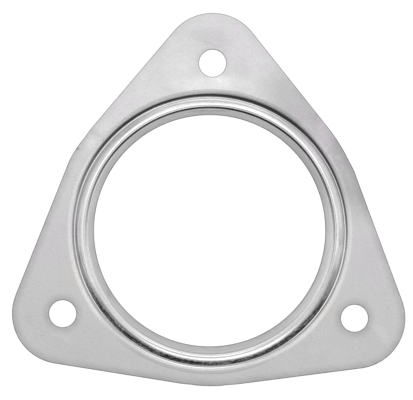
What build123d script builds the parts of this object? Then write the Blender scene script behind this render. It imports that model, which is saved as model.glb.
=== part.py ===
from build123d import *
import os
from math import acos, cos, radians, sin, tan

# Three-bolt exhaust flange gasket, pressed and punched from one sheet of stainless steel.
# The ring stands on Z = 0 and its raised crest points to +Z. The bore is centred on the
# Z axis and one bolt hole lies on +Y. Sizes are in millimetres and degrees.

# Sheet
sheet_thickness = 0.5
edge_break = 0.12         # bevel where the punch draws down the upper edge of every cut

# Ring pressed round the bore, outward from it, corner to corner on the underside
bore_diameter = 75.5
rim_width = 3.1           # flat inner rim, up to the foot of the wall
wall_width = 0.7          # steep wall, from the rim up to the crest
crest_width = 1.0
flank_width = 1.1         # outer flank, from the crest down into the groove
groove_width = 0.7
shoulder_width = 1.0      # from the groove up to the plate
crest_height = 0.9        # above the rim and the groove
plate_height = 0.8        # above the rim and the groove

# Soft bends, as the radius on their inner side. The other bends are struck sharp inside.
flank_bend = 2.5
shoulder_bend = 2.3
bend_share = 0.98         # the most of a run that the two bends at its ends may take

# Flange
bolt_count = 3
bolt_hole_diameter = 8.8  # clearance for an M8 stud
bolt_land = 5.25          # plate between the ring and each bolt hole
lobe_land = 12.2          # plate round each bolt hole
web_land = 5.65           # plate outside the ring at the middle of each side

# Worked out from the sizes above
ring_radius = (
    bore_diameter / 2
    + rim_width
    + wall_width
    + crest_width
    + flank_width
    + groove_width
    + shoulder_width
)
bolt_circle_radius = ring_radius + bolt_land + bolt_hole_diameter / 2
lobe_radius = bolt_hole_diameter / 2 + lobe_land
web_radius = ring_radius + web_land
blank_radius = bolt_circle_radius + 2 * lobe_radius
blank_height = crest_height + plate_height + sheet_thickness


def section_corners():
    """Corners of the sheet's underside, from the bore outward."""
    widths = [rim_width, wall_width, crest_width, flank_width, groove_width, shoulder_width]
    heights = [0, crest_height, crest_height, 0, 0, plate_height]
    corners = [Vector(bore_diameter / 2, 0)]
    for width, height in zip(widths, heights):
        corners.append(Vector(corners[-1].X + width, height))
    return corners + [Vector(blank_radius, plate_height)]


def section_bends(corners):
    """Underside radius of each bend, made smaller where two bends would need more than the run between them."""
    foot = groove = sheet_thickness
    crest = 0
    wanted = [foot, crest, flank_bend, groove, groove, shoulder_bend]
    runs = [end - start for start, end in zip(corners, corners[1:])]
    turns = [arriving.get_angle(leaving) for arriving, leaving in zip(runs, runs[1:])]
    setbacks = [radius * tan(radians(turn / 2)) for radius, turn in zip(wanted, turns)]
    fits = []
    for run, setback, next_setback in zip(runs, [0, *setbacks], [*setbacks, 0]):
        fits.append(min(1, bend_share * run.length / (setback + next_setback)))
    return [radius * min(before, after) for radius, before, after in zip(wanted, fits, fits[1:])]


def formed_blank():
    """Round blank with the ring pressed into it."""
    corners = section_corners()
    underside = FilletPolyline(*corners, radius=section_bends(corners))
    section = make_face(offset(underside, sheet_thickness, kind=Kind.INTERSECTION, side=Side.LEFT))
    return revolve(Plane.XZ * section, Axis.Z)


def flange_outline():
    """Disc out to the middle of each side, with a lobe round each bolt hole and straight tangents to both."""
    half_lobe = acos((web_radius - lobe_radius) / bolt_circle_radius)
    across = sin(half_lobe)
    along = cos(half_lobe)
    tangents = Polygon(
        (web_radius * along, -web_radius * across),
        (bolt_circle_radius + lobe_radius * along, -lobe_radius * across),
        (bolt_circle_radius + lobe_radius * along, lobe_radius * across),
        (web_radius * along, web_radius * across),
        align=None,
    )
    lobe = tangents + Pos(bolt_circle_radius, 0) * Circle(lobe_radius)
    return Circle(web_radius) + PolarLocations(0, bolt_count, 90) * lobe


def cut_edges(sheet):
    """Upper edges of the outline, the bolt holes and the bore."""
    walls = [face for face in sheet.faces() if abs(face.normal_at().Z) < 0.001]
    return [edge for wall in walls for edge in wall.edges().group_by(Axis.Z)[-1]]


def gasket_sheet():
    """The whole gasket, lying on its ring."""
    bolt_holes = PolarLocations(bolt_circle_radius, bolt_count, 90) * Circle(bolt_hole_diameter / 2)
    punched = extrude(flange_outline() - bolt_holes, blank_height)
    sheet = formed_blank() & punched
    return chamfer(cut_edges(sheet), min(edge_break, sheet_thickness / 2))


os.makedirs("parts", exist_ok=True)
export_step(gasket_sheet(), "parts/gasket_sheet.step")
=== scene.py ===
import math
from functools import partial

import bpy
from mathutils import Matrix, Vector
from mathutils.geometry import delaunay_2d_cdt


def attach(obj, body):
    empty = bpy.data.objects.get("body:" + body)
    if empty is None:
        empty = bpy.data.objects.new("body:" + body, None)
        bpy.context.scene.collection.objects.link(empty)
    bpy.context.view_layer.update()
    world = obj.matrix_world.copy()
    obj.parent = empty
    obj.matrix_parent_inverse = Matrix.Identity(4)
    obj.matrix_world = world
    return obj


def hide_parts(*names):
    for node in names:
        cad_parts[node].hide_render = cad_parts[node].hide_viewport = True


# Pressed steel exhaust gasket lying on a white table, seen from straight above.
# Lengths in the dictionaries are millimetres, angles are degrees.

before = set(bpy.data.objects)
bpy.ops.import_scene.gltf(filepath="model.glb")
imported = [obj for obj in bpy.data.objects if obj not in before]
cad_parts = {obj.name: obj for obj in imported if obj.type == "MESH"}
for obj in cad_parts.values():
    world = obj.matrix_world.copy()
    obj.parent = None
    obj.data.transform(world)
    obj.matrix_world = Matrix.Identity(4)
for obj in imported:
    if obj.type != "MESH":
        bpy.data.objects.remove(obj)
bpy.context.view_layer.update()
print("frame loaded")

millimetre = 0.001


# Shader sockets

class Shade:
    # An output socket that takes part in arithmetic: each operator adds the Math node it stands for.

    def __init__(self, tree, socket=None):
        self.tree = tree
        self.socket = socket

    def make(self, nodeType, settings=None, sockets=None, output=0):
        node = self.tree.nodes.new(nodeType)
        for name, value in (settings or {}).items():
            if name == "stops":
                self.fillRamp(node.color_ramp, value)
            else:
                setattr(node, name, value)
        for name, value in (sockets or {}).items():
            if isinstance(value, Shade):
                self.tree.links.new(value.socket, node.inputs[name])
            else:
                node.inputs[name].default_value = value
        return Shade(self.tree, node.outputs[output] if node.outputs else None)

    def fillRamp(self, ramp, stops):
        while len(ramp.elements) < len(stops):
            ramp.elements.new(1.0)
        for element, (position, grey) in zip(ramp.elements, stops):
            element.position = position
            element.color = (grey, grey, grey, 1.0)

    def maths(self, operation, first, second=0.0):
        return self.make("ShaderNodeMath", {"operation": operation}, {0: first, 1: second})

    def vector(self, operation, first, second, output=0):
        return self.make("ShaderNodeVectorMath", {"operation": operation}, {0: first, 1: second}, output)

    def scaled(self, factor):
        return self.make("ShaderNodeVectorMath", {"operation": "SCALE"}, {0: self, "Scale": factor})

    def length(self):
        return self.make("ShaderNodeVectorMath", {"operation": "LENGTH"}, {0: self}, output="Value")

    def part(self, axis):
        return self.make("ShaderNodeSeparateXYZ", {}, {0: self}, output=axis)

    def absolute(self):
        return self.maths("ABSOLUTE", self)

    def __add__(self, other):
        return self.maths("ADD", self, other)

    __radd__ = __add__

    def __sub__(self, other):
        return self.maths("SUBTRACT", self, other)

    def __rsub__(self, other):
        return self.maths("SUBTRACT", other, self)

    def __mul__(self, other):
        return self.maths("MULTIPLY", self, other)

    __rmul__ = __mul__

    def __truediv__(self, other):
        return self.maths("DIVIDE", self, other)

    def __rtruediv__(self, other):
        return self.maths("DIVIDE", other, self)

    def step(self, low, high):
        # 0 below low and 1 above high, eased between; low may be the larger
        return self.make(
            "ShaderNodeMapRange",
            {"interpolation_type": "SMOOTHSTEP"},
            {"Value": self, "From Min": low, "From Max": high, "To Min": 0.0, "To Max": 1.0},
        )

    def noise(self, position, scale, detail, roughness, output=0):
        return self.make(
            "ShaderNodeTexNoise",
            {"noise_dimensions": "3D"},
            {"Vector": position, "Scale": scale, "Detail": detail, "Roughness": roughness},
            output,
        )


# Gasket

gasket = {
    "thickness": 0.5,
    "boreRadius": 37.75,
    "boreDrift": (-0.09, 0.32),        # how far off the ring's centre the bore was punched
    # ring section from the bore outward, corner to corner on the underside
    "runs": [3.05, 0.8, 0.95, 1.17, 0.72, 0.92],
    "heights": [0.0, 0.9, 0.9, 0.0, 0.0, 0.8],         # at the end of each run; the last is the plate's
    "upperBends": [1.15, 0.15, 2.9, 0.45, 0.45, 2.6],          # radii of the bends between the runs
    "lowerBends": [1.6, 0.05, 2.4, 0.95, 0.95, 2.1],
    "bendSteps": 10,
    "ringSteps": 540,
    # the groove is a little oval: aim is the direction of its long way
    "oval": {"middle": 44.1, "reach": 2.2, "stretch": 0.16, "aim": -12.0},
    "lobes": 3,
    "boltCircle": 55.0,
    "holeRadius": 4.4,
    "holeSteps": 72,
    "lobeRadius": 16.5,
    "lobeDrifts": [(0.0, -0.05), (-0.05, 0.05), (0.12, 0.0)],          # of each round end from its hole
    # the upper left, lower and upper right side, the last with a full turn added: direction and distance
    # from the axis of the slight corners in its round middle
    "sides": [
        [(137.0, 51.5), (144.5, 51.2), (148.5, 51.45), (154.0, 51.45), (157.0, 51.3)],
        [(257.0, 50.65), (264.0, 50.3), (266.0, 50.4), (275.0, 50.45), (277.5, 50.35), (281.5, 50.65)],
        [(381.0, 51.05), (383.0, 51.15), (388.0, 50.95), (395.0, 51.15), (401.0, 51.4)],
    ],
    # points round the end of a lobe, along a straight run and between two corners
    "lobeSteps": 24,
    "runSteps": 20,
    "cornerSteps": 4,
    "rollOver": 0.12,                  # radius of the soft upper edge of each cut
    "rollSteps": 5,
    "drawDown": 0.03,                  # how far the sheet dips towards a cut
    "drawWidth": 1.2,
    # distances from a cut of the loops of points past its rolled edge, up to the last, where the even
    # triangles of the plate take over
    "cutInsets": [0.25, 0.4, 0.6, 0.9, 1.2, 1.7, 2.3],
    "farFromCut": 3.0,
    "gridPitch": 1.6,
    "sharpFrom": 40.0,                 # edges that turn further than this aren't smoothed over
}


def spoke(angle, length=1.0):
    return Vector((math.cos(angle), math.sin(angle))) * length


def lobeAim(index):
    return math.pi / 2 + index * 2 * math.pi / gasket["lobes"]


def bentFace(corners, radii):
    # A line through corners with a tangent arc at each inner one, as (radius, height) points
    points = [corners[0]]
    for before, corner, after, radius in zip(corners, corners[1:], corners[2:], radii):
        arriving = (corner - before).normalized()
        leaving = (after - corner).normalized()
        turn = arriving.angle_signed(leaving)        # clockwise is positive
        setback = radius * math.tan(abs(turn) / 2)
        side = -1.0 if turn > 0 else 1.0
        start = corner - arriving * setback
        centre = start + Vector((-arriving.y, arriving.x)) * radius * side
        arm = start - centre
        for step in range(gasket["bendSteps"] + 1):
            angle = -turn * step / gasket["bendSteps"]
            cosine, sine = math.cos(angle), math.sin(angle)
            points.append(centre + Vector((arm.x * cosine - arm.y * sine, arm.x * sine + arm.y * cosine)))
    return points


def ringSection():
    # Underside and upper side of the ring, from the bore out to the flat plate
    plate = gasket["heights"][-1]
    thickness = gasket["thickness"]
    lower = [Vector((gasket["boreRadius"], 0.0))]
    for run, height in zip(gasket["runs"], gasket["heights"]):
        lower.append(Vector((lower[-1].x + run, height)))
    lower.append(Vector((lower[-1].x + 1.0, plate)))        # only gives the last bend its direction
    upper = [lower[0] + Vector((0.0, thickness))]
    for before, corner, after in zip(lower, lower[1:], lower[2:]):
        first = (corner - before).normalized()
        second = (after - corner).normalized()
        normals = Vector((-first.y - second.y, first.x + second.x))
        upper.append(corner + normals * thickness / (1 + first.dot(second)))
    upper.append(lower[-1] + Vector((0.0, thickness)))
    return bentFace(lower, gasket["lowerBends"]), bentFace(upper, gasket["upperBends"])


def ringCircle(radius, rimEnd):
    # The rim follows the bore off centre, and the groove is stretched
    bore = gasket["boreRadius"]
    oval = gasket["oval"]
    moved = Vector(gasket["boreDrift"]) * max(0.0, (rimEnd - radius) / (rimEnd - bore))
    grown = oval["stretch"] * max(0.0, 1 - abs(radius - oval["middle"]) / oval["reach"])
    aim = math.radians(oval["aim"])
    points = []
    for k in range(gasket["ringSteps"]):
        angle = 2 * math.pi * k / gasket["ringSteps"]
        points.append(moved + spoke(angle, radius + grown * math.cos(2 * (angle - aim))))
    return points


def touching(point, centre, radius, side):
    # The direction from the centre of a circle to where a line from the point touches it
    arm = point - centre
    return math.atan2(arm.y, arm.x) + side * math.acos(radius / arm.length)


def lobeArc(index, inset):
    # Centre, start and end direction of the round end of a lobe
    index %= gasket["lobes"]
    centre = spoke(lobeAim(index), gasket["boltCircle"]) + Vector(gasket["lobeDrifts"][index])
    ends = []
    for (angle, distance), side in ((gasket["sides"][index - 1][-1], 1), (gasket["sides"][index][0], -1)):
        corner = spoke(math.radians(angle), distance - inset)
        ends.append(touching(corner, centre, gasket["lobeRadius"] - inset, side))
    return centre, ends[0], ends[0] + (ends[1] - ends[0]) % (2 * math.pi)


def outlineLoop(inset):
    # Points round the flange, moved inward by inset, always as many and in the same order
    lobeSteps, runSteps, cornerSteps = gasket["lobeSteps"], gasket["runSteps"], gasket["cornerSteps"]
    lobe = gasket["lobeRadius"] - inset
    loop = []
    for index, side in enumerate(gasket["sides"]):
        centre, start, end = lobeArc(index, inset)
        nextCentre, nextStart = lobeArc(index + 1, inset)[:2]
        corners = [(math.radians(angle), distance - inset) for angle, distance in side]
        leave = centre + spoke(end, lobe)
        arrive = nextCentre + spoke(nextStart, lobe)
        for step in range(lobeSteps):
            loop.append(centre + spoke(start + (end - start) * step / lobeSteps, lobe))
        for step in range(runSteps):
            loop.append(leave.lerp(spoke(*corners[0]), step / runSteps))
        for (angle, distance), (nextAngle, nextDistance) in zip(corners, corners[1:]):
            for step in range(cornerSteps):
                share = step / cornerSteps
                between = distance + (nextDistance - distance) * share
                loop.append(spoke(angle + (nextAngle - angle) * share, between))
        for step in range(runSteps):
            loop.append(spoke(*corners[-1]).lerp(arrive, step / runSteps))
    return loop


def holeLoop(index, grown):
    centre = spoke(lobeAim(index), gasket["boltCircle"])
    steps = gasket["holeSteps"]
    return [centre + spoke(2 * math.pi * k / steps, gasket["holeRadius"] + grown) for k in range(steps)]


def upperInsets():
    # Distances from a cut of the loops above it: round the rolled edge, then on over the sheet
    steps = gasket["rollSteps"]
    rolled = [gasket["rollOver"] * (1 - math.cos(math.pi / 2 * k / steps)) for k in range(steps + 1)]
    return rolled + gasket["cutInsets"] + [gasket["farFromCut"]]


def dip(distance):
    # How far the upper surface lies below the flat plate at a distance from a cut
    width = gasket["drawWidth"]
    radius = gasket["rollOver"]
    fall = 0.0
    if distance < width:
        fall = gasket["drawDown"] * (1 - distance / width) ** 2
    if distance < radius:
        fall += radius - math.sqrt(max(0.0, radius**2 - (radius - distance) ** 2))
    return fall


class MeshMaker:
    def __init__(self):
        self.points = []
        self.faces = []
        self.cutDistances = []

    def loop(self, flat, height, cutDistance):
        # adds a closed loop of (x, y) points at one height, and returns its indices
        start = len(self.points)
        self.points += [(p[0] * millimetre, p[1] * millimetre, height * millimetre) for p in flat]
        self.cutDistances += [min(cutDistance, gasket["farFromCut"])] * len(flat)
        return list(range(start, len(self.points)))

    def strip(self, first, second):
        # faces between two loops; they face up where the second lies outside the first
        count = len(first)
        for index in range(count):
            after = (index + 1) % count
            self.faces.append((first[index], second[index], second[after], first[after]))

    def strips(self, loops):
        for first, second in zip(loops, loops[1:]):
            self.strip(first, second)

    def fill(self, outline, openings, height, inside, upward):
        # triangulates the flat area in the outline round the openings, all loops already in the mesh
        flat, edges, owners = [], [], []
        for loop in [*openings, outline]:
            start, count = len(flat), len(loop)
            flat += [Vector((self.points[i][0] / millimetre, self.points[i][1] / millimetre)) for i in loop]
            edges += [(start + k, start + (k + 1) % count) for k in range(count)]
            owners += loop
        insideOnly, nearness = 1, 1e-6
        places, _, faces, originals, _, _ = delaunay_2d_cdt(flat + inside, edges, [], insideOnly, nearness)
        indices = []
        for place, original in zip(places, originals):
            known = [k for k in original if k < len(owners)]
            if known:
                indices.append(owners[known[0]])
            else:
                indices += self.loop([place], height, gasket["farFromCut"])
        closed = [set(loop) for loop in openings]
        for face in faces:
            corners = [indices[k] for k in face]
            if not any(opening.issuperset(corners) for opening in closed):
                self.faces.append(tuple(corners if upward else reversed(corners)))


def inHole(point, margin):
    for index in range(gasket["lobes"]):
        if (point - spoke(lobeAim(index), gasket["boltCircle"])).length < gasket["holeRadius"] + margin:
            return True
    return False


def insideOutline(point, loop):
    # crossing count of a ray towards +X
    inside = False
    for first, second in zip(loop, loop[1:] + loop[:1]):
        if (first.y > point.y) != (second.y > point.y):
            if point.x < first.x + (point.y - first.y) / (second.y - first.y) * (second.x - first.x):
                inside = not inside
    return inside


def plateGrid(ringEdge):
    # Points that keep the triangles of the flat plate even
    pitch = gasket["gridPitch"]
    rowPitch = pitch * 0.866           # height of an even triangle
    margin = gasket["farFromCut"] + pitch / 2
    limit = outlineLoop(margin)
    rows = int((gasket["boltCircle"] + gasket["lobeRadius"]) / pitch)
    grid = []
    for row in range(-rows, rows + 1):
        for column in range(-rows, rows + 1):
            point = Vector(((column + (row % 2) / 2) * pitch, row * rowPitch))
            if point.length < ringEdge + pitch / 2 or inHole(point, margin):
                continue
            if insideOutline(point, limit):
                grid.append(point)
    return grid


def makeRing(maker):
    # The rim and the pressed section, from the edge of the bore outward
    lower, upper = ringSection()
    bore = gasket["boreRadius"]
    rimEnd = upper[1].x
    leastGap = 0.05                    # from the last loop of the rim to the first bend
    upperLoops = []
    for inset in upperInsets():
        if bore + inset < rimEnd - leastGap:
            rim = ringCircle(bore + inset, rimEnd)
            upperLoops.append(maker.loop(rim, gasket["thickness"] - dip(inset), inset))
    upperLoops += [maker.loop(ringCircle(point.x, rimEnd), point.y, point.x - bore) for point in upper[1:]]
    lowerLoops = [maker.loop(ringCircle(point.x, rimEnd), point.y, point.x - bore) for point in lower]
    maker.strips(lowerLoops[::-1] + upperLoops)
    return upperLoops[-1], lowerLoops[-1], upper[-1].x


def makeCuts(maker):
    # The cut walls of the outline and of each hole, with the surfaces near them
    plate = gasket["heights"][-1]
    top = plate + gasket["thickness"]
    far = gasket["farFromCut"]
    upperEnds, lowerEnds = [], []
    for cut in [outlineLoop] + [partial(holeLoop, index) for index in range(gasket["lobes"])]:
        above = [maker.loop(cut(inset), top - dip(inset), inset) for inset in upperInsets()]
        below = [maker.loop(cut(inset), plate, inset) for inset in (0.0, far / 3, far)]
        chain = below[::-1] + above
        # the outline's loops shrink away from the cut, the holes' loops grow
        maker.strips(chain[::-1] if cut is outlineLoop else chain)
        upperEnds.append(above[-1])
        lowerEnds.append(below[-1])
    return upperEnds, lowerEnds


def buildSheet():
    maker = MeshMaker()
    upperRing, lowerRing, ringEdge = makeRing(maker)
    (upperOutline, *upperHoles), (lowerOutline, *lowerHoles) = makeCuts(maker)
    plate = gasket["heights"][-1]
    top = plate + gasket["thickness"]
    maker.fill(upperOutline, [upperRing, *upperHoles], top, plateGrid(ringEdge), True)
    maker.fill(lowerOutline, [lowerRing, *lowerHoles], plate, [], False)

    mesh = bpy.data.meshes.new("gasketSheet")
    mesh.from_pydata(maker.points, [], maker.faces)
    attribute = mesh.attributes.new("cutDistance", "FLOAT", "POINT")
    attribute.data.foreach_set("value", maker.cutDistances)
    mesh.polygons.foreach_set("use_smooth", [True] * len(mesh.polygons))
    mesh.update()
    mesh.set_sharp_from_angle(angle=math.radians(gasket["sharpFrom"]))
    sheet = bpy.data.objects.new("gasketSheet", mesh)
    bpy.context.collection.objects.link(sheet)
    return sheet


sheet = buildSheet()
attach(sheet, "root")
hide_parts("gasket_sheet")
print("sheet built:", len(sheet.data.vertices), "points,", len(sheet.data.polygons), "faces")


# Steel

steel = {
    "colour": (0.62, 0.62, 0.62),
    # by distance from the axis: share of the colour, and roughness; pressing and handling polished the ring
    "radii": (37.0, 47.0),
    "toneStops": [(37.8, 0.8), (39.8, 0.82), (40.6, 1.12), (41.2, 1.12), (41.6, 1.0),
                  (44.8, 1.0), (45.5, 1.08), (46.1, 1.05), (46.7, 0.875)],
    "roughStops": [(39.9, 0.42), (40.4, 0.12), (40.8, 0.06), (43.0, 0.1), (43.9, 0.22),
                   (44.3, 0.15), (44.6, 0.1), (45.1, 0.22), (45.9, 0.42)],
    # by height in the picture: share of the colour on the plate, a painted light that makes it palest near
    # its upper lobe, nearest the light
    "heights": (-52.0, 74.0),
    "paintedLightStops": [(-52.0, 0.885), (-34.0, 0.915), (-10.0, 0.955), (8.0, 0.99), (25.0, 1.06),
                  (40.0, 1.13), (55.0, 1.13), (65.0, 1.08), (73.0, 1.14)],
    "paintedLightMost": 1.2,                   # the top of the ramp, whose own greys end at 1
    "plateFrom": (44.9, 46.2),         # distance from the axis
    "lobeFrom": (22.0, 45.0),          # height in the picture; the upper lobe is more worn than the rest

    # noises: scale, detail and roughness; shown is the range over which a noise turns into marks
    "noises": {
        "grain": (1.0, 4.0, 0.65),
        "clouds": (0.09, 4.0, 0.6),
        "speckle": (1.6, 2.0, 0.7),
        "strokes": (5.0, 2.0, 0.6),
        "pepper": (2.2, 1.0, 0.5),
        "drawn": (1.0, 3.0, 0.7),
        "blotches": (0.8, 3.0, 0.7),
        "flakes": (1.5, 2.0, 0.6),
        "chips": (1.0, 2.0, 0.6),
    },
    "wobbleNoise": (3.0, 0.6),         # detail and roughness, as each kind of mark has its own scale
    "shown": {
        "strokes": (0.55, 0.75),
        "pepper": (0.66, 0.76),
        "blotches": (0.42, 0.6),
        "flakes": (0.46, 0.56),
        "chips": (0.44, 0.56),
    },
    "grainAngle": -31.0,               # the way the sheet was rolled, from the picture's right
    "grainScale": (0.05, 0.8, 0.3),
    "longMarks": (3.5, 7.0),           # scale across and along the ring
    "shortMarks": (2.4, 34.0),

    # how strong each is everywhere, and what the upper lobe adds
    "clouds": (0.12, 0.1),
    "grain": (0.12, 0.08),
    "strokes": (0.05, 0.06),
    "pepper": (0.06, 0.1),
    "speckle": 0.34,
    "scratchGrain": 2.0,               # how far the grain breaks up the scratches
    # within this distance of a cut the sheet is darker: painted shade where it rolls down to the cut, with
    # some wear, but less so on the upper lobe, whose edge faces the light
    "nearCut": (3.0, 0.3),
    "cutPepper": 0.12,
    "cutShade": 0.17,
    "cutGrain": 2.0,
    "cutLobe": 0.7,
    "cutEdge": (0.45, 0.15),           # and the painted shade is darkest on the rolled edge
    "cutEdgeShade": 0.4,

    # bands of the ring: distances from the axis where each begins, is full, begins to fade and ends
    "bands": {
        "foot": (40.0, 40.3, 40.58, 40.8),
        "crest": (41.0, 41.4, 42.2, 43.0),
        "flank": (42.0, 42.4, 43.8, 44.0),
        "flakes": (42.5, 42.8, 43.7, 43.9),
        "groove": (43.65, 43.85, 43.9, 44.1),
        "shoulder": (44.45, 44.65, 44.8, 45.05),
    },
    "rimBand": (40.3, 39.9),           # this one goes on from there to the bore
    # and the sine of the direction from the axis at which each starts to show, then shows in full
    "footUp": (-0.3, 0.4),
    "rimUp": (0.1, 0.5),
    "linesUp": (0.95, 0.5),
    "flankUp": (0.35, -0.2),
    "flakesUp": (-0.3, -0.6),
    "chipsUp": (-0.25, -0.6),
    "crestUp": (0.85, 0.2),
    "crestMiddle": 0.22,               # how far below the axis the duller left and right are centred
    "footPaintedShade": 0.72,                     # painted shade in the foot of the wall, along the upper half
    "rimPaintedShade": 0.19,                  # painted shade on the rim's upper half, below the wall
    "grooveShadeLine": 0.4,                 # painted shade at the left and right, along the edges of the groove
    "shoulderShadeLine": 0.25,              # and of the shoulder
    "drawn": 0.35,                     # streaks round the ring
    "blotches": (0.35, 0.55),          # middle and depth of the blotches on the lower flank
    "flakes": 0.6,                     # dark flakes of burnt dirt low on the flank
    "chips": (0.1, 0.45),              # short ones: what the steel between them gains, and what they take
    # roughness gained: at the crest's left and right, with the grain, and between blotches and chips
    "crestDull": 0.25,
    "grainDull": 0.12,
    "flankDull": 0.2,
    "chipDull": 0.15,

    # wear and dirt on the ring, and painted light and shade by direction round it: from and to distance from
    # the axis, direction, spread, change of tone
    "ringWearAndPaintedLight": [
        (39.6, 40.35, 270, 70, -0.3),
        (40.6, 41.4, 60, 30, -0.25),
        (40.6, 41.4, 145, 15, -0.15),
        (40.6, 41.4, 258, 28, -0.15),
        (41.3, 42.6, 225, 22, -0.45),
        (41.2, 43.0, 328, 26, -0.35),
        (41.1, 41.45, 100, 45, -0.2),
        (42.4, 43.3, 278, 18, 0.4),
        (42.4, 43.7, 82, 36, -0.2),
        (43.3, 44.2, 312, 26, -0.45),
        (43.75, 44.4, 262, 62, -0.42),
        (43.6, 44.15, 60, 80, -0.2),
        (42.1, 42.8, 123, 15, -0.28),
        (42.5, 43.4, 330, 17, -0.3),
        (39.5, 40.2, 78, 60, -0.12),
        (40.0, 40.45, 152, 16, 0.5),
        (45.15, 45.8, 255, 42, -0.2),
        (40.9, 41.4, 275, 60, -0.2),
        (44.0, 45.2, 180, 30, -0.2),
        (44.6, 45.6, 152, 16, -0.35),
        (44.2, 45.0, 18, 26, -0.5),
        (37.9, 40.2, 340, 35, 0.12),
        (37.9, 40.2, 150, 25, 0.13),
        (41.6, 42.4, 115, 45, -0.13),
        (42.2, 43.8, 145, 35, -0.24),
        (44.3, 45.5, 124, 26, -0.35),
        (45.2, 46.7, 93, 68, -0.34),
        (45.2, 46.7, 262, 52, -0.3),
    ],

    # marks on the sheet: x, y, half length, half width, angle, change of tone; the wobble's scale and reach
    # give each a ragged edge, and core is the share of the mark that shows in full
    "patches": {
        "wobble": (0.3, 2.0),
        "core": 0.3,
        "rows": [
            (-1.9, 48.0, 15.0, 4.2, 2, 0.15),       # bright under the top hole
            (2.0, 50.0, 5.2, 2.6, -20, 0.1),
            (-11.4, 52.4, 7.2, 6.5, 60, 0.05),
            (0.5, 63.1, 9.8, 4.2, -8, -0.06),
            (9.1, 54.1, 5.2, 3.9, -40, -0.04),
            (26.0, 43.0, 17.0, 11.0, -48, -0.22),   # dull upper right side
            (46.5, 18.5, 19.0, 12.0, -62, -0.25),
            (38.0, 33.0, 13.0, 9.0, -55, -0.14),
            (36.2, 35.9, 2.5, 1.6, 60, 0.07),
            (-39.4, 28.2, 2.9, 2.6, 50, 0.09),      # upper left side
            (-35.3, 33.8, 2.9, 2.9, 50, 0.05),
            (-37.2, 31.2, 1.3, 3.6, 50, -0.05),
            (-42.6, 23.2, 1.6, 3.3, 60, -0.04),
            (56.5, -32.3, 5.5, 2.3, -50, 0.07),     # streak right of the right hole
            (-47.6, -34.3, 7.2, 2.0, -25, 0.03),
            (-58.7, -29.2, 2.0, 2.9, 20, -0.05),
            (-25.9, -44.4, 4.6, 1.6, -15, 0.03),
            (34.1, -38.2, 5.2, 2.0, 20, 0.03),
            (-32.8, -20.7, 2.0, 1.0, -60, -0.15),   # smudges on the rim
            (-0.7, 39.5, 10.4, 0.5, 0, -0.18),
            (-43.4, 26.6, 0.9, 0.5, 50, -0.35),     # nicks at the corners of the outline
            (-46.4, 21.3, 1.1, 0.4, 62, -0.25),
        ],
    },
    "scratches": {
        "wobble": (0.4, 0.8),
        "core": 0.35,
        "rows": [
            (-0.8, 61.4, 3.6, 0.3, -24, -0.14),
            (-2.1, 60.9, 1.6, 0.2, -23, -0.12),
            (10.1, 56.4, 3.3, 0.3, -25, -0.08),
            (5.0, 65.8, 4.6, 0.2, -30, -0.05),
            (11.3, 60.6, 3.3, 0.2, -30, -0.07),
            (-6.7, 63.6, 2.9, 0.2, -28, -0.05),
            (-8.2, 56.4, 2.3, 0.2, -35, 0.06),
            (2.4, 49.4, 1.3, 0.4, -50, 0.15),
            (-47.2, -35.6, 4.9, 0.4, -24, 0.05),
            (-53.1, -37.6, 2.9, 0.3, -30, 0.05),
            (-58.2, -23.3, 2.0, 0.3, -60, -0.07),
            (-60.2, -22.1, 1.6, 0.3, -62, -0.07),
            (-54.1, -34.7, 0.5, 0.4, 0, -0.14),
            (51.0, -33.7, 1.6, 0.3, 35, -0.08),
            (58.6, -21.5, 2.6, 0.3, -65, 0.05),
            (46.3, 16.8, 2.9, 0.3, -35, 0.04),
            (42.6, 22.0, 2.6, 0.3, -30, 0.05),
            (28.9, 44.6, 2.9, 0.3, -38, -0.06),
            (-32.4, 39.7, 2.6, 0.3, 30, -0.06),
            (-45.6, 4.9, 2.6, 0.3, -60, 0.04),
            (10.7, -47.1, 2.9, 0.3, -8, 0.04),
            (-10.1, -48.4, 2.3, 0.3, -20, -0.05),
        ],
    },
    # where handling left a cast; the rows end with its strength
    "violet": {
        "cast": (0.01, -0.03, 0.018),
        "wobble": (0.12, 6.0),
        "core": 0.4,
        "rows": [
            (9.0, 60.0, 18.0, 10.0, -38, 0.85),
            (0.0, 67.0, 13.0, 5.0, 0, 0.4),
            (38.0, 30.0, 26.0, 10.0, -54, 1.15),
            (-29.0, 41.0, 9.0, 7.0, 48, 0.8),
            (-50.0, -3.0, 17.0, 9.0, 65, 0.8),
            (52.5, -8.0, 14.0, 9.0, -65, 1.0),
        ],
    },
    "rose": {
        "cast": (0.02, -0.015, -0.015),
        "wobble": (0.12, 6.0),
        "core": 0.4,
        "rows": [
            (-46.0, -14.5, 8.0, 6.0, 65, 1.0),
            (39.0, -25.0, 5.0, 4.0, 0, 1.0),
        ],
    },
    "castMost": 1.2,
}


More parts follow.
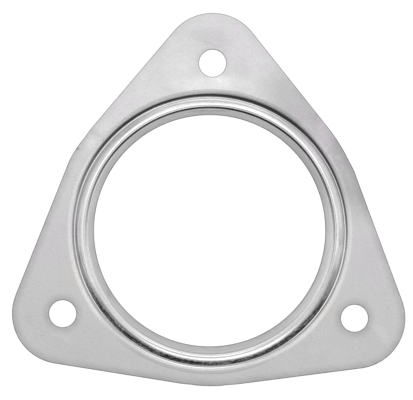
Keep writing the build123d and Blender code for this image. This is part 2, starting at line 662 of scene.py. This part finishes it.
class Surface:
    # The sheet in shader sockets: where a point of it lies, and masks of what marks it

    def __init__(self, bench):
        self.bench = bench
        self.position = bench.make("ShaderNodeTexCoord", output="Object").scaled(1 / millimetre)
        self.flat = bench.vector("MULTIPLY", self.position, (1.0, 1.0, 0.0))
        self.radius = self.flat.length()
        self.height = self.position.part("Y")
        self.upwards = self.height / self.radius           # sine and cosine of the direction from the axis
        self.rightwards = self.position.part("X") / self.radius
        self.plate = self.radius.step(*steel["plateFrom"])
        self.lobe = self.height.step(*steel["lobeFrom"])
        self.cut = bench.make("ShaderNodeAttribute", {"attribute_name": "cutDistance"}, output="Fac")
        turned = bench.make(
            "ShaderNodeVectorRotate",
            {"rotation_type": "Z_AXIS"},
            {"Vector": self.position, "Angle": math.radians(-steel["grainAngle"])},
        )
        self.rolled = bench.make(
            "ShaderNodeMapping", {"vector_type": "POINT"}, {"Vector": turned, "Scale": steel["grainScale"]}
        )
        self.grain = self.centred("grain", self.rolled)
        self.flank = self.band("flank") * self.upwards.step(*steel["flankUp"])
        self.lowFlank = self.flank * self.upwards.step(*steel["chipsUp"])
        self.blotches = self.spots("blotches", self.aroundRing("longMarks"))
        self.chips = self.spots("chips", self.aroundRing("shortMarks")) * self.lowFlank

    def centred(self, name, place):
        return self.bench.noise(place, *steel["noises"][name]) - 0.5

    def spots(self, name, place):
        return self.bench.noise(place, *steel["noises"][name]).step(*steel["shown"][name])

    def aroundRing(self, name):
        # coordinates for marks that are drawn out round the ring
        across, along = steel[name]
        parts = {0: self.radius * across, 1: self.rightwards * along, 2: self.upwards * along}
        return self.bench.make("ShaderNodeCombineXYZ", {}, parts)

    def band(self, name):
        begin, full, fading, end = steel["bands"][name]
        return self.radius.step(begin, full) * self.radius.step(end, fading)

    def byStops(self, value, ends, stops, top=1.0):
        # a value looked up between two ends, with the stops written as shares of top
        low, high = ends
        placed = [((at - low) / (high - low), share / top) for at, share in stops]
        along = (value - low) / (high - low)
        return self.bench.make("ShaderNodeValToRGB", {"stops": placed}, {"Fac": along}) * top

    def marks(self, name):
        scale, reach = steel[name]["wobble"]
        drift = self.bench.noise(self.flat, scale, *steel["wobbleNoise"], output="Color")
        wobble = self.bench.vector("SUBTRACT", drift, (0.5, 0.5, 0.5)).scaled(reach)
        place = self.bench.vector("ADD", self.flat, wobble)
        total = 0.0
        for x, y, length, width, angle, change in steel[name]["rows"]:
            local = self.bench.make(
                "ShaderNodeMapping",
                {"vector_type": "TEXTURE"},
                {"Vector": place, "Location": (x, y, 0.0), "Rotation": (0.0, 0.0, math.radians(angle)),
                 "Scale": (length, width, 1.0)},
            )
            total = local.length().step(1.0, steel[name]["core"]) * change + total
        return total


def sheetTone(surface):
    # Share of the steel's colour over the whole sheet: from its rolling, handling and cutting, with painted
    # light that pales the plate towards its upper lobe and painted shade near the cuts
    plate, lobe, grain = surface.plate, surface.lobe, surface.grain

    def depth(name):
        everywhere, onLobe = steel[name]
        return everywhere + lobe * onLobe

    # painted light: the plate is paler towards its upper lobe, nearest the light
    paintedLight = surface.byStops(surface.height, steel["heights"], steel["paintedLightStops"], steel["paintedLightMost"])
    tone = (1 + (paintedLight - 1) * plate) * surface.byStops(surface.radius, steel["radii"], steel["toneStops"])
    tone = tone * (1 + surface.marks("patches"))
    clouds = surface.centred("clouds", surface.flat)
    speckle = surface.centred("speckle", surface.position)
    texture = clouds * depth("clouds") + grain * depth("grain") + speckle * steel["speckle"]
    tone = tone * (1 + surface.marks("scratches") * (1 + grain * steel["scratchGrain"]) + texture)
    tone = tone * (1 - surface.spots("strokes", surface.rolled) * depth("strokes"))
    # painted shade near each cut, with wear and pepper, and darkest on the rolled edge
    nearCut = surface.cut.step(*steel["nearCut"])
    pepper = surface.spots("pepper", surface.position)
    tone = tone * (1 - pepper * (depth("pepper") + nearCut * steel["cutPepper"]))
    shade = nearCut * (1 + (grain + speckle) * steel["cutGrain"]) * (1 - lobe * steel["cutLobe"])
    edge = surface.cut.step(*steel["cutEdge"])
    return tone * (1 - shade * steel["cutShade"]) * (1 - edge * steel["cutEdgeShade"])


def ringTone(surface):
    # Share of the steel's colour on the pressed ring: from wear and dirt, and from painted light and shade
    upwards, rightwards, radius = surface.upwards, surface.rightwards, surface.radius
    longMarks = surface.aroundRing("longMarks")
    tone = 1 + surface.centred("drawn", longMarks) * (1 - surface.plate) * steel["drawn"]
    # wear and dirt, with painted light and shade by direction round the ring
    # each row shows in full over the middle half of its band and the middle third of its spread
    for inner, outer, aim, spread, change in steel["ringWearAndPaintedLight"]:
        aimed = spoke(math.radians(aim))
        facing = rightwards * aimed.x + upwards * aimed.y
        edges = math.cos(math.radians(spread)), math.cos(math.radians(spread / 3))
        ease = (outer - inner) / 4
        band = radius.step(inner, inner + ease) * radius.step(outer, outer - ease)
        tone = tone * (1 + facing.step(*edges) * band * change)
    # painted shade in the foot of the wall, on its upper half only
    footPaintedShade = surface.band("foot") * upwards.step(*steel["footUp"]) * steel["footPaintedShade"]
    # painted shade on the rim's upper half
    rim = radius.step(*steel["rimBand"]) * upwards.step(*steel["rimUp"]) * steel["rimPaintedShade"]
    # painted shade along the edges of the groove and of the shoulder, at the left and right
    shadeLines = surface.band("groove") * steel["grooveShadeLine"] + surface.band("shoulder") * steel["shoulderShadeLine"]
    shadeLines = shadeLines * upwards.absolute().step(*steel["linesUp"])
    tone = tone * (1 - footPaintedShade) * (1 - shadeLines) * (1 - rim)
    middle, depth = steel["blotches"]
    tone = tone * (1 + (middle - surface.blotches) * surface.flank * depth)
    flakes = surface.spots("flakes", longMarks) * surface.band("flakes") * upwards.step(*steel["flakesUp"])
    gain, loss = steel["chips"]
    return tone * (1 - flakes * steel["flakes"]) * (1 + surface.lowFlank * gain - surface.chips * loss)


def steelRoughness(surface):
    sideways = (surface.upwards + steel["crestMiddle"]).absolute().step(*steel["crestUp"])
    roughness = surface.byStops(surface.radius, steel["radii"], steel["roughStops"])
    roughness = roughness + sideways * surface.band("crest") * steel["crestDull"]
    roughness = roughness + surface.grain * surface.plate * steel["grainDull"]
    roughness = roughness + (1 - surface.blotches) * surface.flank * steel["flankDull"]
    return roughness + (surface.lowFlank - surface.chips) * steel["chipDull"]


def steelMaterial():
    material = bpy.data.materials.new("rolledSteel")
    material.use_nodes = True
    tree = material.node_tree
    tree.nodes.clear()
    bench = Shade(tree)
    surface = Surface(bench)
    tone = sheetTone(surface) * ringTone(surface)
    base = bench.make("ShaderNodeVectorMath", {"operation": "SCALE"}, {0: steel["colour"], "Scale": tone})
    for name in ("violet", "rose"):
        strength = bench.maths("MINIMUM", surface.marks(name), steel["castMost"])
        base = bench.vector("ADD", base, bench.vector("MULTIPLY", base, steel[name]["cast"]).scaled(strength))
    shader = bench.make(
        "ShaderNodeBsdfPrincipled",
        {},
        {"Base Color": base, "Metallic": 1.0, "Roughness": steelRoughness(surface)},
    )
    bench.make("ShaderNodeOutputMaterial", {}, {"Surface": shader})
    return material


sheet.data.materials.append(steelMaterial())
print("steel made")


# Table, light and camera

studio = {
    "pixelsWide": 413,
    "pixelSize": 0.3263,           # of the photograph, in millimetres on the plate
    "offset": (3.4, -31.7),        # pixels from the picture's middle to the ring's axis, right and up
    "roll": 0.9,
    "lens": 300.0,
    "sensorWidth": 36.0,
    "clip": (0.01, 20.0),          # metres
    "tableHalf": 3.0,              # metres
    "tableGlow": 0.93,
    "tableColour": (0.2, 0.2, 0.2, 1.0),
    "white": (1.0, 1.0, 1.0, 1.0),
    "level": 1.6,
    # brightness of the room by direction, from opposite the big soft light (0) to the light itself (1)
    "room": [(0.2, 0.03), (0.3, 0.05), (0.37, 0.08), (0.43, 0.13), (0.5, 0.22), (0.57, 0.33), (0.65, 0.41),
             (0.75, 0.46), (0.8, 0.5), (0.86, 0.55), (0.92, 0.58), (1.0, 0.62)],
    "lightTilt": 45.0,             # of the soft light from straight above
    "lightAim": 82.0,              # and the way it leans, from the picture's right
    # two long lamps cross overhead, turned this far either way from the picture's height. Here and below
    # a pair is the part of a direction along an axis at which a light starts, and that at which it is full
    "lampTurn": 22.0,
    "lampAcross": (0.15, 0.05),
    "lampAlong": (0.7, 0.2),
    "lampRise": (0.0, 0.2),
    "lampGlow": 0.5,
    "secondFrom": (-0.15, 0.1),    # the second reaches only over the upper half
    # start, full and brightness of three wide glows: low behind the soft light, at the right and overhead
    "backGlow": (0.76, 0.95, 0.6),
    "rightGlow": (0.84, 0.93, 0.12),
    "skyGlow": (0.4, 0.8, 0.06),
    # two soft panels at the left and right, by distance across and along the picture
    "panelAcross": (0.2, 0.45, 0.75, 0.9),
    "panelAlong": (0.5, 0.2),
    "panelGlow": 0.14,
    # dark corners of the room at the picture's lower left and right
    "cornerDown": (0.2, 0.6),
    "cornerTurn": 12.0,
    "cornerAcross": (0.1, 0.25),
    "cornerTop": (0.85, 0.65),
    "cornerUp": (0.25, 0.6),
    "cornerDark": 0.85,
}


def makeTable():
    mesh = bpy.data.meshes.new("table")
    half = studio["tableHalf"]
    corners = [(-half, -half, 0), (half, -half, 0), (half, half, 0), (-half, half, 0)]
    mesh.from_pydata(corners, [], [(0, 1, 2, 3)])
    table = bpy.data.objects.new("table", mesh)
    bpy.context.collection.objects.link(table)
    material = bpy.data.materials.new("whiteTable")
    material.use_nodes = True
    tree = material.node_tree
    tree.nodes.clear()
    bench = Shade(tree)
    # white where it is seen directly, in the steel or through glass, and matte to the light
    seen = bench.make("ShaderNodeLightPath", output="Is Camera Ray")
    glossy = bench.make("ShaderNodeLightPath", output="Is Glossy Ray")
    through = bench.make("ShaderNodeLightPath", output="Is Transmission Ray")
    shown = bench.maths("MINIMUM", seen + glossy + through, 1.0)
    matte = bench.make("ShaderNodeBsdfDiffuse", {}, {"Color": studio["tableColour"]})
    glow = bench.make("ShaderNodeEmission", {}, {"Color": studio["white"], "Strength": studio["tableGlow"]})
    both = bench.make("ShaderNodeAddShader", {}, {0: matte, 1: glow})
    finish = bench.make("ShaderNodeMixShader", {}, {0: shown, 1: matte, 2: both})
    bench.make("ShaderNodeOutputMaterial", {}, {"Surface": finish})
    mesh.materials.append(material)


def makeWorld():
    world = bpy.data.worlds.new("studio")
    bpy.context.scene.world = world
    world.use_nodes = True
    tree = world.node_tree
    tree.nodes.clear()
    bench = Shade(tree)
    direction = bench.make("ShaderNodeTexCoord", output="Generated")
    toRight = direction.part("X")
    toTop = direction.part("Y")
    upward = direction.part("Z")

    def towards(tilt, aim):
        level = spoke(math.radians(aim), math.sin(math.radians(tilt)))
        axis = (level.x, level.y, math.cos(math.radians(tilt)))
        return bench.vector("DOT_PRODUCT", direction, axis, output="Value")

    def beside(turn):
        # distance of a direction from the upright plane that is turned so far from the picture's height
        return towards(90.0, turn).absolute()

    light = (towards(studio["lightTilt"], studio["lightAim"]) + 1) * 0.5
    room = bench.make("ShaderNodeValToRGB", {"stops": studio["room"]}, {"Fac": light})

    first = beside(studio["lampTurn"]).step(*studio["lampAcross"])
    second = beside(-studio["lampTurn"]).step(*studio["lampAcross"]) * toTop.step(*studio["secondFrom"])
    along = toTop.absolute().step(*studio["lampAlong"]) * upward.step(*studio["lampRise"])
    lamps = bench.maths("MAXIMUM", first, second) * along * studio["lampGlow"]

    glows = 0.0
    for value, (start, full, glow) in (
        (towards(90.0, studio["lightAim"]), studio["backGlow"]),
        (toRight, studio["rightGlow"]),
        (upward, studio["skyGlow"]),
    ):
        glows = value.step(start, full) * glow + glows

    inner, full, fading, outer = studio["panelAcross"]
    across = toRight.absolute()
    panels = across.step(inner, full) * across.step(outer, fading)
    panels = panels * toTop.absolute().step(*studio["panelAlong"]) * studio["panelGlow"]

    apart = beside(studio["cornerTurn"]).step(*studio["cornerAcross"])
    apart = bench.maths("MAXIMUM", apart, upward.step(*studio["cornerTop"]))
    corners = (0 - toTop).step(*studio["cornerDown"]) * apart * upward.step(*studio["cornerUp"])

    level = ((room + glows + panels) * (1 - corners * studio["cornerDark"]) + lamps) * studio["level"]
    background = bench.make("ShaderNodeBackground", {}, {"Color": studio["white"], "Strength": level})
    bench.make("ShaderNodeOutputWorld", {}, {"Surface": background})


def makeCamera():
    roll = math.radians(studio["roll"])
    right = Vector((math.cos(roll), math.sin(roll), 0))
    up = Vector((-math.sin(roll), math.cos(roll), 0))
    pixel = studio["pixelSize"] * millimetre
    middle = -(right * studio["offset"][0] + up * studio["offset"][1]) * pixel
    data = bpy.data.cameras.new("camera")
    data.lens = studio["lens"]
    data.sensor_fit = "HORIZONTAL"
    data.sensor_width = studio["sensorWidth"]
    data.clip_start, data.clip_end = studio["clip"]
    plateTop = (gasket["heights"][-1] + gasket["thickness"]) * millimetre
    distance = studio["pixelsWide"] * pixel * data.lens / data.sensor_width
    camera = bpy.data.objects.new("camera", data)
    bpy.context.collection.objects.link(camera)
    camera.location = (middle.x, middle.y, plateTop + distance)
    camera.rotation_euler = (0.0, 0.0, roll)
    bpy.context.scene.camera = camera


makeTable()
makeWorld()
makeCamera()
bpy.context.scene.view_settings.view_transform = "Standard"
print("table, light and camera set")
